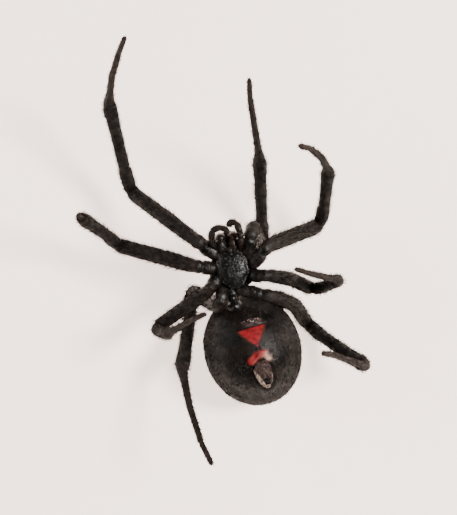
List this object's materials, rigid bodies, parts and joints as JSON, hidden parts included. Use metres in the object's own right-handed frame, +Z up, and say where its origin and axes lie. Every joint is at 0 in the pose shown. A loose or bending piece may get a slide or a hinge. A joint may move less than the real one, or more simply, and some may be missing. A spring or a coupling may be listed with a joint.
{
  "type": "black widow spider",
  "caption": "Life-size adult female black widow spider, a still model lying on its back in its hanging pose with a red hourglass on the belly.",
  "frame": {"origin": "centre of the small flat under the abdomen's back on which the model lies, at floor level", "axes": "+Z up, the way the belly faces; +Y towards the head end; +X towards the spider's left side"},
  "size_m": [0.0175, 0.0241, 0.015],
  "materials": {
    "cuticle": "satin black cuticle",
    "abdomen": "satin black skin with a red hourglass",
    "tarsus": "satin dark reddish brown"
  },
  "bodies": {
    "root": {"prosoma": "cuticle", "chelicera_left": "cuticle", "chelicera_right": "cuticle", "palp_left": "tarsus", "palp_right": "tarsus", "abdomen": "abdomen", "spinnerets": "abdomen", "left_leg_1_coxa": "cuticle", "left_leg_1_femur": "cuticle", "left_leg_1_patella": "cuticle", "left_leg_1_tibia": "cuticle", "left_leg_1_foot": "tarsus", "left_leg_2_coxa": "cuticle", "left_leg_2_femur": "cuticle", "left_leg_2_patella": "cuticle", "left_leg_2_tibia": "cuticle", "left_leg_2_foot": "tarsus", "left_leg_3_coxa": "cuticle", "left_leg_3_femur": "cuticle", "left_leg_3_patella": "cuticle", "left_leg_3_tibia": "cuticle", "left_leg_3_foot": "tarsus", "left_leg_4_coxa": "cuticle", "left_leg_4_femur": "cuticle", "left_leg_4_patella": "cuticle", "left_leg_4_tibia": "cuticle", "left_leg_4_foot": "tarsus", "right_leg_1_coxa": "cuticle", "right_leg_1_femur": "cuticle", "right_leg_1_patella": "cuticle", "right_leg_1_tibia": "cuticle", "right_leg_1_foot": "tarsus", "right_leg_2_coxa": "cuticle", "right_leg_2_femur": "cuticle", "right_leg_2_patella": "cuticle", "right_leg_2_tibia": "cuticle", "right_leg_2_foot": "tarsus", "right_leg_3_coxa": "cuticle", "right_leg_3_femur": "cuticle", "right_leg_3_patella": "cuticle", "right_leg_3_tibia": "cuticle", "right_leg_3_foot": "tarsus", "right_leg_4_coxa": "cuticle", "right_leg_4_femur": "cuticle", "right_leg_4_patella": "cuticle", "right_leg_4_tibia": "cuticle", "right_leg_4_foot": "tarsus"}
  },
  "joints": []
}
